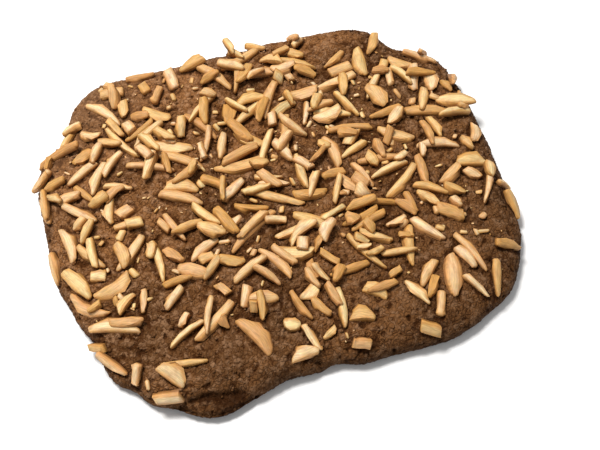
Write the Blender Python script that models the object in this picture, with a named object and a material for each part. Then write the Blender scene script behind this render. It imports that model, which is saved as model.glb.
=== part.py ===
"""A slab of speculaas, the spiced biscuit, with slivered almonds baked into its crust.

The dough is a thick hand-shaped slab: a flat underside, a rim that swells out over it, a
shoulder that rounds into the crust, a fold in the front of the rim and a ledge at its front
corner. The almonds lie on the crust and on each other as they fell, and are pressed in and
baked fast, so the whole biscuit is one closed solid.

Frame: metres, +Z up, the slab's long side along X and its front towards -Y. The origin is
under the slab's middle, on the surface that it rests on.
"""

import math
import random
from collections import namedtuple

import bmesh
import bpy
from mathutils import Matrix, Vector, noise

MM = 0.001

# The slab, seen from above at its widest level.
SLAB_LENGTH = 187.5 * MM
SLAB_WIDTH = 158.0 * MM
SQUARENESS = 4.0  # exponent of the rim's superellipse: 2 is an ellipse, and more is squarer
# Where the hand-shaped rim falls short of that superellipse, or swells past it if the depth is
# below nought: direction in degrees from +X, depth, and spread in degrees.
RIM_DENTS = (
    (4, -1.3 * MM, 22),
    (39, 9.0 * MM, 7),
    (126, -3.0 * MM, 6),
    (144, 9.4 * MM, 7),
    (168, 0.6 * MM, 12),
    (195, 3.0 * MM, 7),
    (203, 2.8 * MM, 5),
    (213, 8.2 * MM, 12),
    (214, -1.8 * MM, 4),
    (220, 1.4 * MM, 4),
    (229, 2.4 * MM, 5),
    (241, -3.0 * MM, 6),
    (259, 5.0 * MM, 11),
    (272, 3.4 * MM, 5),
    (286, 2.7 * MM, 13),
    (314, 2.2 * MM, 7),
    (327, 1.6 * MM, 6),
    (352, 0.9 * MM, 7),
)
RIM_WAVE = 0.7 * MM  # how far the rim wanders in and out
RIM_WAVE_COUNT = 7.0  # about how many times it does so in one turn

# The slab, seen from the side.
BELLY_HEIGHT = 4.0 * MM  # where the rim swells out furthest
UNDERCUT = 2.2 * MM  # how far the rim draws in from there to the flat underside
SHOULDER_HEIGHT = 11.5 * MM  # where the shoulder meets the crust
SHOULDER_RUN = 11.0 * MM  # how far in from the rim that is
STEEP_DIRECTION = 268  # degrees from +X: here, by the fold, the rim is steeper
STEEP_SPREAD = 13  # degrees
STEEP_RUN = 6.5 * MM  # the shoulder's run there
CROWN = 1.6 * MM  # how much higher the crust is in its middle than at the shoulder
LUMP_HEIGHT = 0.8 * MM  # of the broad, shallow lumps in the crust
LUMP_SPACING = 24 * MM

# A ledge of dough that crept out under the front left corner.
LEDGE_DIRECTION = 239  # degrees from +X
LEDGE_SPREAD = 7  # degrees
LEDGE_DEPTH = 7.5 * MM
LEDGE_HEIGHT = 5.8 * MM
LEDGE_ROUND = 2.5 * MM  # how far in from the rim the ledge reaches its full height

# The fold that runs in from the front of the rim.
FOLD_START = (-4.0 * MM, -72 * MM)
FOLD_END = (-8.0 * MM, -54 * MM)
FOLD_DEPTH = 3.4 * MM
FOLD_WIDTH = 3.2 * MM

# How finely the dough is faceted.
CELLS_LONG = 25
CELLS_WIDE = 21
SHOULDER_STEPS = 4
UNDERCUT_STEPS = 2

# The almonds: kernels split lengthwise into slivers.
SEED = 29
RANDOM_SLIVERS = 136
SHORTEST, USUAL, LONGEST = 9.0 * MM, 14.5 * MM, 21.0 * MM
CLEAR_OF_RIM = 1.2 * MM  # how far in from the rim each end of a scattered sliver lies
TRIES = 3  # places tried for each sliver, of which the barest is taken
HIGHEST = 4.5 * MM  # how far above the crust a scattered sliver's middle line may reach
PRESSED_IN = 0.33  # the share of its thickness that a sliver sinks into what it lies on
ROLL_SPREAD = 9  # degrees that a sliver rolls about its own length, give or take
# Places left bare: x, y and radius.
BARE_PATCHES = (
    (-24 * MM, -60 * MM, 13 * MM),
    (-42 * MM, -70 * MM, 14 * MM),
    (66 * MM, -66 * MM, 12 * MM),
    (28 * MM, -68 * MM, 14 * MM),
    (-64 * MM, 64 * MM, 11 * MM),
    (46 * MM, 70 * MM, 9 * MM),
    (86 * MM, -32 * MM, 9 * MM),
    (-60 * MM, -47 * MM, 9 * MM),
)
# The almonds lie thickest behind the middle, and thin out to a least share away from there.
THICKEST = (4 * MM, 20 * MM)
THICK_SPREAD = 58 * MM
THIN_SHARE = 0.55
# They thin out once more towards the front: from here on, to the least share at the rim.
THINS_FROM = -22 * MM
THINNEST = 0.12

# How a sliver is cut. Bend is a share of its length. Each end is the share of the full width
# that is left there, so a small one is pointed and a big one is cut across.
Cut = namedtuple("Cut", "weight stretch width thickness bend ends")
CUTS = {
    "split": Cut(0.62, 1.00, 4.2 * MM, 2.9 * MM, 0.05, (0.30, 0.68)),
    "flake": Cut(0.24, 0.95, 6.0 * MM, 2.3 * MM, 0.08, (0.26, 0.40)),
    "stub": Cut(0.14, 0.60, 4.4 * MM, 2.8 * MM, 0.01, (0.86, 0.92)),
}
STATIONS = (-0.5, 0, 0.5)  # of a sliver's sections, as shares of its length

# A sliver where it lies: its cut, its size, its middle, the way it points, its slope along
# that way, and its roll about it.
Sliver = namedtuple("Sliver", "cut length width thickness bend place heading slope roll")

# The broadest slivers on the crust, and those that lie alone on its barer parts or hang over
# the rim: cut, x, y, heading in degrees, and length.
PLACED_SLIVERS = (
    ("split", -80 * MM, 45 * MM, 8, 20 * MM),
    ("split", -88 * MM, 37 * MM, 12, 11 * MM),
    ("split", -90 * MM, 22 * MM, 91, 12 * MM),
    ("split", -92 * MM, -4 * MM, 89, 14 * MM),
    ("flake", -58 * MM, 59 * MM, 129, 20 * MM),
    ("split", -53 * MM, 43 * MM, 119, 21 * MM),
    ("split", -42 * MM, 43 * MM, 33, 17 * MM),
    ("flake", -36 * MM, 53 * MM, 141, 14 * MM),
    ("split", -8 * MM, 64 * MM, 123, 20 * MM),
    ("stub", -38 * MM, 67 * MM, 109, 9 * MM),
    ("split", -45 * MM, 27 * MM, 156, 20 * MM),
    ("split", 82 * MM, -49 * MM, 169, 14 * MM),
    ("split", 72 * MM, -61 * MM, 75, 15 * MM),
    ("split", 66 * MM, -48 * MM, 109, 20 * MM),
    ("flake", 56 * MM, -55 * MM, 76, 19 * MM),
    ("split", 63 * MM, -62 * MM, 124, 13 * MM),
    ("flake", 40 * MM, -58 * MM, 117, 14 * MM),
    ("stub", 47 * MM, -65 * MM, 67, 17 * MM),
    ("stub", 40 * MM, -73 * MM, 151, 14 * MM),
    ("stub", 13 * MM, -71 * MM, 164, 12 * MM),
    ("flake", 17 * MM, -60 * MM, 162, 10 * MM),
    ("split", 10 * MM, -55 * MM, 82, 17 * MM),
    ("flake", -9 * MM, -68 * MM, 5, 12 * MM),
    ("split", -4 * MM, -63 * MM, 108, 12 * MM),
    ("flake", -24 * MM, -56 * MM, 116, 20 * MM),
    ("split", -38 * MM, -46 * MM, 33, 21 * MM),
    ("split", -53 * MM, -59 * MM, 170, 18 * MM),
    ("flake", -58 * MM, -62 * MM, 130, 13 * MM),
    ("stub", -62 * MM, -69 * MM, 167, 17 * MM),
    ("stub", -71 * MM, -57 * MM, 60, 14 * MM),
    ("split", -79 * MM, -50 * MM, 127, 15 * MM),
    ("stub", -83 * MM, -41 * MM, 140, 15 * MM),
    ("flake", -75 * MM, -38 * MM, 161, 21 * MM),
    ("flake", -82 * MM, -25 * MM, 135, 19 * MM),
    ("flake", 81 * MM, 35 * MM, 89, 12 * MM),
    ("flake", 72 * MM, 3 * MM, 163, 19 * MM),
    ("split", 51 * MM, -9 * MM, 35, 20 * MM),
    ("split", 84 * MM, -21 * MM, 62, 18 * MM),
    ("flake", 71 * MM, 47 * MM, 142, 12 * MM),
    ("split", 44 * MM, 57 * MM, 31, 12 * MM),
    ("split", 27 * MM, -36 * MM, 119, 21 * MM),
    ("split", -62 * MM, -8 * MM, 43, 18 * MM),
    ("flake", -9 * MM, 17 * MM, 0, 24 * MM),
    ("flake", -2 * MM, 29 * MM, 137, 16 * MM),
    ("split", -13 * MM, -14 * MM, 32, 25 * MM),
    ("flake", -9 * MM, -30 * MM, 119, 19 * MM),
    ("flake", 0 * MM, -28 * MM, 166, 17 * MM),
    ("flake", 1 * MM, -18 * MM, 6, 14 * MM),
    ("flake", -34 * MM, -15 * MM, 27, 15 * MM),
    ("split", 74 * MM, 19 * MM, 163, 20 * MM),
    ("flake", 57 * MM, 13 * MM, 148, 17 * MM),
    ("split", 47 * MM, 3 * MM, 172, 20 * MM),
    ("split", 37 * MM, -2 * MM, 108, 14 * MM),
    ("split", 84 * MM, 15 * MM, 6, 17 * MM),
    ("split", 0 * MM, -1 * MM, 146, 25 * MM),
    ("split", -33 * MM, 27 * MM, 143, 22 * MM),
)

DOUGH_COLOUR = (0.165, 0.078, 0.036, 1.0)
DOUGH_ROUGHNESS = 0.75


def bump(degrees, centre, spread, power=2):
    """A hump round one direction, 1 at its middle. A higher power gives it steeper sides."""
    off = abs((degrees - centre + 180) % 360 - 180)
    return math.exp(-((off / spread) ** power))


def rim_radius(angle):
    """How far the rim is from the slab's middle in one direction, in radians from +X."""
    across = abs(math.cos(angle)) * 2 / SLAB_LENGTH
    along = abs(math.sin(angle)) * 2 / SLAB_WIDTH
    radius = (across**SQUARENESS + along**SQUARENESS) ** (-1 / SQUARENESS)
    degrees = math.degrees(angle)
    for centre, depth, spread in RIM_DENTS:
        radius -= depth * bump(degrees, centre, spread)
    turn = Vector((math.cos(angle), math.sin(angle), 0)) * RIM_WAVE_COUNT / 2
    return radius + RIM_WAVE * (noise.noise(turn) - 0.3)


def quarter_round(share):
    """The height of a quarter circle of radius 1 at a share of the way in from its edge."""
    inward = min(max(share, 0), 1)
    return math.sqrt(1 - (1 - inward) ** 2)


def fold_depth(x, y):
    """How deep the front fold is at a place. It is deepest at the rim and runs out inwards."""
    start = Vector(FOLD_START)
    run = Vector(FOLD_END) - start
    along = (Vector((x, y)) - start).dot(run) / run.length_squared
    nearest = start + run * min(max(along, 0), 1)
    off = (Vector((x, y)) - nearest).length / FOLD_WIDTH
    return FOLD_DEPTH * (1 - min(max(along, 0), 1)) * math.exp(-(off**2))


def ledge_reach(angle):
    """How far the ledge stands out from the slab's foot in one direction."""
    return LEDGE_DEPTH * bump(math.degrees(angle), LEDGE_DIRECTION, LEDGE_SPREAD, 4)


def crust_height(x, y):
    """The height of the crust over a place inside the rim."""
    angle = math.atan2(y, x)
    radius = rim_radius(angle)
    inward = radius - math.hypot(x, y)
    ledge_in = ledge_reach(angle)
    ledge = LEDGE_HEIGHT * quarter_round(inward / LEDGE_ROUND)
    steep = bump(math.degrees(angle), STEEP_DIRECTION, STEEP_SPREAD)
    run = SHOULDER_RUN + (STEEP_RUN - SHOULDER_RUN) * steep
    shoulder = quarter_round((inward - ledge_in) / run)
    body = BELLY_HEIGHT + (SHOULDER_HEIGHT - BELLY_HEIGHT) * shoulder
    if ledge_in > MM:
        body = max(body, ledge)
    crown = CROWN * (1 - (math.hypot(x, y) / radius) ** 2)
    lump = LUMP_HEIGHT * noise.noise(Vector((x, y, 0)) / LUMP_SPACING)
    return body + shoulder * (crown + lump) - fold_depth(x, y)


def crust_point(angle, inward):
    """The point of the crust some way in from the rim, in one direction."""
    reach = rim_radius(angle) - inward
    x, y = reach * math.cos(angle), reach * math.sin(angle)
    return Vector((x, y, crust_height(x, y)))


def place_in_plateau(across, along):
    """Takes a place in the square from -1 to 1 to its place inside the shoulder."""
    round_x = across * math.sqrt(1 - along**2 / 2)
    round_y = along * math.sqrt(1 - across**2 / 2)
    angle = math.atan2(round_y * SLAB_WIDTH, round_x * SLAB_LENGTH)
    share = math.hypot(round_x, round_y)
    reach = (rim_radius(angle) - SHOULDER_RUN) * share
    x, y = reach * math.cos(angle), reach * math.sin(angle)
    return Vector((x, y, crust_height(x, y)))


def extrude_rim(bm, rim, place):
    """Draws the open edge out into one more ring, and puts each of its points by its angle."""
    made = bmesh.ops.extrude_edge_only(bm, edges=rim)["geom"]
    for vert in made:
        if isinstance(vert, bmesh.types.BMVert):
            vert.co = place(math.atan2(vert.co.y, vert.co.x))
    return [edge for edge in made if isinstance(edge, bmesh.types.BMEdge)]


def make_dough():
    """The bare slab: a grid for the crust, drawn down over the rim and closed underneath."""
    bm = bmesh.new()
    bmesh.ops.create_grid(bm, x_segments=CELLS_LONG, y_segments=CELLS_WIDE, size=1)
    for vert in bm.verts:
        vert.co = place_in_plateau(vert.co.x, vert.co.y)
    rim = [edge for edge in bm.edges if edge.is_boundary]

    for step in range(1, SHOULDER_STEPS + 1):
        turn = math.radians(90 * (1 - step / SHOULDER_STEPS))
        inward = SHOULDER_RUN * (1 - math.cos(turn))
        rim = extrude_rim(bm, rim, lambda angle: crust_point(angle, inward))

    def under(angle, turn):
        reach = rim_radius(angle) - UNDERCUT * (1 - math.cos(turn))
        height = BELLY_HEIGHT * (1 - math.sin(turn))
        return Vector((reach * math.cos(angle), reach * math.sin(angle), height))

    for step in range(1, UNDERCUT_STEPS + 1):
        turn = math.radians(90 * step / UNDERCUT_STEPS)
        rim = extrude_rim(bm, rim, lambda angle: under(angle, turn))
    bmesh.ops.contextual_create(bm, geom=rim)
    bmesh.ops.recalc_face_normals(bm, faces=bm.faces)

    mesh = bpy.data.meshes.new("speculaas_cookie")
    bm.to_mesh(mesh)
    bm.free()
    return mesh


def room_inside(x, y):
    """How far a place is in from the rim."""
    return rim_radius(math.atan2(y, x)) - math.hypot(x, y)


def almond_share(x, y):
    """How likely an almond is to lie at a place, from 0 to 1."""
    if any(math.hypot(x - px, y - py) < radius for px, py, radius in BARE_PATCHES):
        return 0.0
    away = math.hypot(x - THICKEST[0], y - THICKEST[1]) / THICK_SPREAD
    share = THIN_SHARE + (1 - THIN_SHARE) * math.exp(-(away**2))
    forward = min(max((THINS_FROM - y) / (THINS_FROM + SLAB_WIDTH / 2), 0), 1)
    return share * (1 - (1 - THINNEST) * forward)


def spine(sliver, share):
    """The point over the table at a share, from -0.5 to 0.5, of a sliver's length."""
    reach = sliver.length * share
    return sliver.place + Vector(
        (
            reach * math.cos(sliver.heading),
            reach * math.sin(sliver.heading),
            reach * sliver.slope,
        )
    )


def gap_between(one, other):
    """About how far apart two slivers lie, by three points along each."""
    shares = (-0.4, 0, 0.4)
    return min(
        (spine(one, a).xy - spine(other, b).xy).length for a in shares for b in shares
    )


def height_under(x, y, lying):
    """What a sliver would touch over a place: the crust, or the top of one that lies there."""
    height = crust_height(x, y)
    for sliver in lying:
        off = Vector((x, y)) - sliver.place.xy
        way = Vector((math.cos(sliver.heading), math.sin(sliver.heading)))
        along = off.dot(way)
        if abs(along) > sliver.length / 2 or abs(off.cross(way)) > sliver.width * 0.6:
            continue
        top = sliver.place.z + along * sliver.slope + sliver.thickness / 2
        height = max(height, top)
    return height


def settle(sliver, lying):
    """Lets a sliver come to rest: on the two highest points with its middle between them."""
    shares = (-0.42, -0.28, -0.14, 0, 0.14, 0.28, 0.42)
    points = [spine(sliver, share) for share in shares]
    heights = [height_under(point.x, point.y, lying) for point in points]
    best_height, best_slope = -1.0, 0.0
    for back in range(4):
        for front in range(3, 7):
            run = (shares[front] - shares[back]) * sliver.length
            slope = (heights[front] - heights[back]) / run if run else 0.0
            height = heights[back] - shares[back] * sliver.length * slope
            if height > best_height:
                best_height, best_slope = height, slope
    side = Vector((-math.sin(sliver.heading), math.cos(sliver.heading)))
    side *= sliver.width / 2
    x, y = sliver.place.xy
    lean = crust_height(x + side.x, y + side.y) - crust_height(x - side.x, y - side.y)
    middle = best_height + sliver.thickness * (0.5 - PRESSED_IN)
    return sliver._replace(
        place=Vector((x, y, middle)),
        slope=best_slope,
        roll=sliver.roll + math.atan2(lean, sliver.width),
    )


def lift(sliver):
    """How far a sliver stands above the crust at its highest."""
    points = [spine(sliver, share) for share in (-0.5, 0, 0.5)]
    return max(point.z - crust_height(point.x, point.y) for point in points)


def new_sliver(draw, name, length, x, y, heading):
    """A sliver of one cut over a place, a little uneven in its size, and not yet lying."""
    cut = CUTS[name]
    return Sliver(
        cut=cut,
        length=length * cut.stretch,
        width=cut.width * draw.uniform(0.66, 1.24),
        thickness=cut.thickness * draw.uniform(0.85, 1.15),
        bend=cut.bend * draw.uniform(0.2, 1.6) * draw.choice((-1, 1)),
        place=Vector((x, y, 0)),
        heading=heading,
        slope=0.0,
        roll=math.radians(draw.gauss(0, ROLL_SPREAD)),
    )


def drop_sliver(draw, lying, name, length):
    """Lets one sliver fall on the barest of several places, and come to rest there."""
    best, best_gap = None, -1.0
    tries = 0
    while tries < TRIES or best is None:
        x = draw.uniform(-0.5, 0.5) * SLAB_LENGTH
        y = draw.uniform(-0.5, 0.5) * SLAB_WIDTH
        loose = new_sliver(draw, name, length, x, y, draw.uniform(0, math.pi))
        ends = (spine(loose, -0.5), spine(loose, 0.5))
        if min(room_inside(end.x, end.y) for end in ends) < CLEAR_OF_RIM:
            continue
        if draw.random() > almond_share(x, y):
            continue
        tries += 1
        gap = min((gap_between(loose, other) for other in lying), default=0)
        if gap <= best_gap:
            continue
        settled = settle(loose, lying)
        if lift(settled) < HIGHEST:
            best, best_gap = settled, gap
    return best


def scatter_slivers():
    """The slivers where they lie: those placed by hand, then the rest, the longest first."""
    draw = random.Random(SEED)
    lying = []
    for name, x, y, degrees, length in PLACED_SLIVERS:
        loose = new_sliver(draw, name, length, x, y, math.radians(degrees))
        lying.append(settle(loose, lying))

    lengths = [draw.triangular(SHORTEST, LONGEST, USUAL) for _ in range(RANDOM_SLIVERS)]
    weights = [cut.weight for cut in CUTS.values()]
    for length in sorted(lengths, reverse=True):
        name = draw.choices(list(CUTS), weights)[0]
        lying.append(drop_sliver(draw, lying, name, length))
    return lying


def sliver_object(sliver, number):
    """One sliver as a closed solid: a bar of three sections, tapered, bent and laid down."""
    bm = bmesh.new()
    bmesh.ops.create_cube(bm, size=1)
    long_edges = [
        edge for edge in bm.edges if edge.verts[0].co.x != edge.verts[1].co.x
    ]
    bmesh.ops.subdivide_edges(bm, edges=long_edges, cuts=len(STATIONS) - 2)
    turn = (
        Matrix.Translation(sliver.place)
        @ Matrix.Rotation(sliver.heading, 4, "Z")
        @ Matrix.Rotation(-math.atan(sliver.slope), 4, "Y")
        @ Matrix.Rotation(sliver.roll, 4, "X")
    )
    for vert in bm.verts:
        share = min(STATIONS, key=lambda station: abs(station - vert.co.x))
        end = sliver.cut.ends[share > 0] if abs(share) == 0.5 else 1.0
        belly = 1 - 4 * share**2
        side = vert.co.y * sliver.width * end * (0.86 if vert.co.z > 0 else 1)
        side += sliver.bend * sliver.length * belly
        up = vert.co.z * sliver.thickness * (0.45 + 0.55 * end)
        vert.co = turn @ Vector((share * sliver.length, side, up))
    bmesh.ops.recalc_face_normals(bm, faces=bm.faces)
    mesh = bpy.data.meshes.new(f"sliver_{number}")
    bm.to_mesh(mesh)
    bm.free()
    return bpy.data.objects.new(mesh.name, mesh)


def drop_loose_shells(mesh):
    """Keeps only the largest shell of a mesh: a sealed hollow is filled, and a scrap goes."""
    bm = bmesh.new()
    bm.from_mesh(mesh)
    shells, seen = [], set()
    for face in bm.faces:
        if face in seen:
            continue
        shell, waiting = [], [face]
        seen.add(face)
        while waiting:
            one = waiting.pop()
            shell.append(one)
            for edge in one.edges:
                fresh = [near for near in edge.link_faces if near not in seen]
                seen.update(fresh)
                waiting.extend(fresh)
        shells.append(shell)
    shells.sort(key=len, reverse=True)
    spare = [face for shell in shells[1:] for face in shell]
    bmesh.ops.delete(bm, geom=spare, context="FACES")
    bm.to_mesh(mesh)
    bm.free()


def fuse(body, loose):
    """Joins a collection's objects to a body with one Boolean union, and removes them."""
    union = body.modifiers.new("fuse_almonds", "BOOLEAN")
    union.operation = "UNION"
    union.operand_type = "COLLECTION"
    union.collection = loose
    union.solver = "EXACT"
    graph = bpy.context.evaluated_depsgraph_get()
    fused = bpy.data.meshes.new_from_object(body.evaluated_get(graph))
    body.modifiers.clear()
    plain = body.data
    body.data = fused
    bpy.data.meshes.remove(plain)
    for obj in list(loose.objects):
        bpy.data.meshes.remove(obj.data)
    bpy.data.collections.remove(loose)
    drop_loose_shells(body.data)


def baked_material():
    """Dark brown baked dough, dull and a little rough."""
    material = bpy.data.materials.new("baked_dough")
    material.use_nodes = True
    shader = material.node_tree.nodes["Principled BSDF"]
    shader.inputs["Base Color"].default_value = DOUGH_COLOUR
    shader.inputs["Roughness"].default_value = DOUGH_ROUGHNESS
    shader.inputs["Metallic"].default_value = 0.0
    return material


def main():
    for obj in list(bpy.data.objects):
        bpy.data.objects.remove(obj)
    scene = bpy.context.scene
    cookie = bpy.data.objects.new("speculaas_cookie", make_dough())
    scene.collection.objects.link(cookie)

    almonds = bpy.data.collections.new("almonds")
    scene.collection.children.link(almonds)
    for number, sliver in enumerate(scatter_slivers()):
        almonds.objects.link(sliver_object(sliver, number))

    fuse(cookie, almonds)
    cookie.data.name = "speculaas_cookie"
    cookie.data.materials.clear()
    cookie.data.materials.append(baked_material())


main()
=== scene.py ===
"""A slab of speculaas, the spiced biscuit, as it comes from the oven.

The dough is one fine mesh with its crags, pores and cracks in real relief. The slivered
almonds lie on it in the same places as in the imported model, with the smaller ones, the chips
and the crumbs added. Everything is in metres, +Z up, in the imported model's frame.
"""

import functools
import math
import random
from collections import namedtuple

import bmesh
import bpy
from bpy.props import FloatProperty, FloatVectorProperty, IntProperty, PointerProperty
from mathutils import Matrix, Vector, kdtree, noise


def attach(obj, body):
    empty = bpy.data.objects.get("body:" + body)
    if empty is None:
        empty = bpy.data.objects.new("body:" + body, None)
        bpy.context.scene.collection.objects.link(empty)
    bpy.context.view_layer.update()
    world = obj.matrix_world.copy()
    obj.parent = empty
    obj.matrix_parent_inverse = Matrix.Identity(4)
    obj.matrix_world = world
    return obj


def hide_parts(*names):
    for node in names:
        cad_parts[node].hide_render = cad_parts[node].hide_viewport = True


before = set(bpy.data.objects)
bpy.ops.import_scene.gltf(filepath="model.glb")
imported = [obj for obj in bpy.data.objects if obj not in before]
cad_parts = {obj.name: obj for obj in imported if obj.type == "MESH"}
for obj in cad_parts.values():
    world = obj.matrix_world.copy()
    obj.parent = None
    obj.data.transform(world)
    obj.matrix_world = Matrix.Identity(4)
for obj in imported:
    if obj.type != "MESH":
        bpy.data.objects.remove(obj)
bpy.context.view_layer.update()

bl_info = {
    "name": "Speculaas Slab",
    "version": (1, 0, 0),
    "blender": (4, 5, 0),
    "location": "View3D > Sidebar > Speculaas",
    "description": "Bakes a slab of speculaas and strews it with slivered almonds",
    "category": "Add Mesh",
}

MM = 0.001
COOKIE = "speculaas_cookie"

# The slab, seen from above at its widest level.
SLAB_LENGTH = 187.5 * MM
SLAB_WIDTH = 158.0 * MM
SQUARENESS = 4.0  # exponent of the rim's superellipse: 2 is an ellipse, and more is squarer
# Where the hand-shaped rim falls short of that superellipse, or swells past it if the depth is
# below nought: direction in degrees from +X, depth in millimetres, and spread in degrees.
RIM_DENTS = (
    (4, -1.3, 22),
    (39, 9.0, 7),
    (126, -3.0, 6),
    (144, 9.4, 7),
    (168, 0.6, 12),
    (195, 3.0, 7),
    (203, 2.8, 5),
    (213, 8.2, 12),
    (214, -1.8, 4),
    (220, 1.4, 4),
    (229, 2.4, 5),
    (241, -3.0, 6),
    (259, 5.0, 11),
    (272, 3.4, 5),
    (286, 2.7, 13),
    (314, 2.2, 7),
    (327, 1.6, 6),
    (352, 0.9, 7),
)
RIM_WAVE = 0.7 * MM  # how far the rim wanders in and out
RIM_WAVE_INWARD = 0.3  # the share of that by which the whole rim is drawn in
RIM_WAVE_COUNT = 7.0  # about how many times it does so in one turn

# The slab, seen from the side.
BELLY_HEIGHT = 4.0 * MM  # where the rim swells out furthest
UNDERCUT = 2.2 * MM  # how far the rim draws in from there to the flat underside
SHOULDER_HEIGHT = 11.5 * MM  # where the shoulder meets the crust
SHOULDER_RUN = 11.0 * MM  # how far in from the rim that is
STEEP_DIRECTION = 268  # degrees from +X: here, by the fold, the rim is steeper
STEEP_SPREAD = 13  # degrees
STEEP_RUN = 6.5 * MM  # the shoulder's run there
CROWN = 1.6 * MM  # how much higher the crust is in its middle than at the shoulder
LUMP_HEIGHT = 0.8 * MM  # of the broad, shallow lumps in the crust
LUMP_SPACING = 24 * MM

# A ledge of dough that crept out under the front left corner.
LEDGE_DIRECTION = 239  # degrees from +X
LEDGE_SPREAD = 7  # degrees
LEDGE_DEPTH = 7.5 * MM
LEDGE_HEIGHT = 5.8 * MM
LEDGE_ROUND = 2.5 * MM  # how far in from the rim the ledge reaches its full height

# The fold that runs in from the front of the rim.
FOLD_START = (-4.0 * MM, -72 * MM)
FOLD_END = (-8.0 * MM, -54 * MM)
FOLD_DEPTH = 3.4 * MM
FOLD_WIDTH = 3.2 * MM

# How finely the dough is meshed.
CELLS_LONG = 270
CELLS_WIDE = 226
SHOULDER_STEPS = 24
UNDERCUT_STEPS = 6

# The relief of the crust. Each pattern is read at a place of its own in the noise, so that no
# two of them rise and fall together.
SWELL_HEIGHT = 0.35 * MM
SWELL_SPACING = 8 * MM
STIR_REACH = 0.9 * MM  # how far the nubs and cracks are pushed about
STIR_SPACING = 2.4 * MM
PATCH_SPACING = 14 * MM  # of the patches with higher or lower nubs
PATCH_PLACE = Vector((9, 4, 2))
PATCH_MIDDLE = 0.8  # the nubs' height there, as a share of the full one
PATCH_SWING = 0.6
SMALL_NUB_SIZE = 0.56  # of the nubs on the nubs, as a share of the large ones
SMALL_NUB_HEIGHT = 0.7
CREASE_WIDTH = 0.30  # of a nub's width
NUB_ROUNDNESS = 1.3
NUB_MIDDLE = 0.45  # the share of a nub's height that lies under the smooth slab
GRIT_HEIGHT = 0.12 * MM
GRIT_SPACING = 0.9 * MM
PORE_DEPTH = 3.2 * MM  # for each 1 by which the noise passes PORE_FROM
PORE_SPACING = 2.6 * MM
PORE_PLACE = Vector((17, 3, 8))
PORE_FROM = 0.40
CRACK_SPACING = 10 * MM
CRACK_PLACE = Vector((31, 12, 5))
CRACK_WIDTH = 0.022  # on the noise's own scale
CRACKED_SPACING = 19 * MM  # of the patches that are cracked
CRACKED_PLACE = Vector((5, 25, 1))
CRACKED_FROM = 0.05
CRACKED_RISE = 4
GROOVE_DEPTH = 0.5 * MM  # of the crease where the slab stands on its ledge
GROOVE_WIDTH = 1.0 * MM
LEDGE_SHADE = 0.22  # how much painted shade darkens the ledge, which lies under the slab's front shoulder
LEDGE_SHADE_RUN = 1.5 * MM
RELIEF_RANGE = 1.5 * MM  # the span of heights that the dough's colours tell apart
MOAT_POINTS = 20  # along each sliver, from which the crease round it is measured
SMOOTH_FOOT = 1.5 * MM  # up to here the relief fades out, so that the slab rests flat

# The almonds: kernels split lengthwise into slivers.
SEED = 29
RANDOM_SLIVERS = 136
SHORTEST, USUAL, LONGEST = 9.0 * MM, 14.5 * MM, 21.0 * MM
CLEAR_OF_RIM = 1.2 * MM  # how far in from the rim each end of a scattered sliver lies
TRIES = 3  # places tried for each sliver, of which the barest is taken
HIGHEST = 4.5 * MM  # how far above the crust a scattered sliver's middle line may reach
PRESSED_IN = 0.33  # the share of its thickness that a sliver sinks into what it lies on
ROLL_SPREAD = 9  # degrees that a sliver rolls about its own length, give or take
UNEVEN_WIDTH = (0.66, 1.24)  # a sliver's own width, as a share of its cut's
UNEVEN_THICKNESS = (0.85, 1.15)
UNEVEN_BEND = (0.2, 1.6)
TOUCHING = 0.6  # how far from its middle line a sliver is touched, as a share of its width
# Places left bare: x, y and radius, in millimetres.
BARE_PATCHES = (
    (-24, -60, 13),
    (-42, -70, 14),
    (66, -66, 12),
    (28, -68, 14),
    (-64, 64, 11),
    (46, 70, 9),
    (86, -32, 9),
    (-60, -47, 9),
)
# The almonds lie thickest behind the middle, and thin out to a least share away from there.
THICKEST = (4 * MM, 20 * MM)
THICK_SPREAD = 58 * MM
THIN_SHARE = 0.55
# They thin out once more towards the front: from here on, to the least share at the rim.
THINS_FROM = -22 * MM
THINNEST = 0.12

# How a sliver is cut. Bend is a share of its length. Each end is the share of the full width
# that is left there, so a small one is pointed and a big one is cut across.
Cut = namedtuple("Cut", "weight stretch width thickness bend ends")
CUTS = {
    "split": Cut(0.62, 1.00, 4.2 * MM, 2.9 * MM, 0.05, (0.30, 0.68)),
    "flake": Cut(0.24, 0.95, 6.0 * MM, 2.3 * MM, 0.08, (0.26, 0.40)),
    "stub": Cut(0.14, 0.60, 4.4 * MM, 2.8 * MM, 0.01, (0.86, 0.92)),
}

# A sliver where it lies: its cut, its size, its middle, the way it points, its slope along
# that way, and its roll about it.
Sliver = namedtuple("Sliver", "cut length width thickness bend place heading slope roll")

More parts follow.
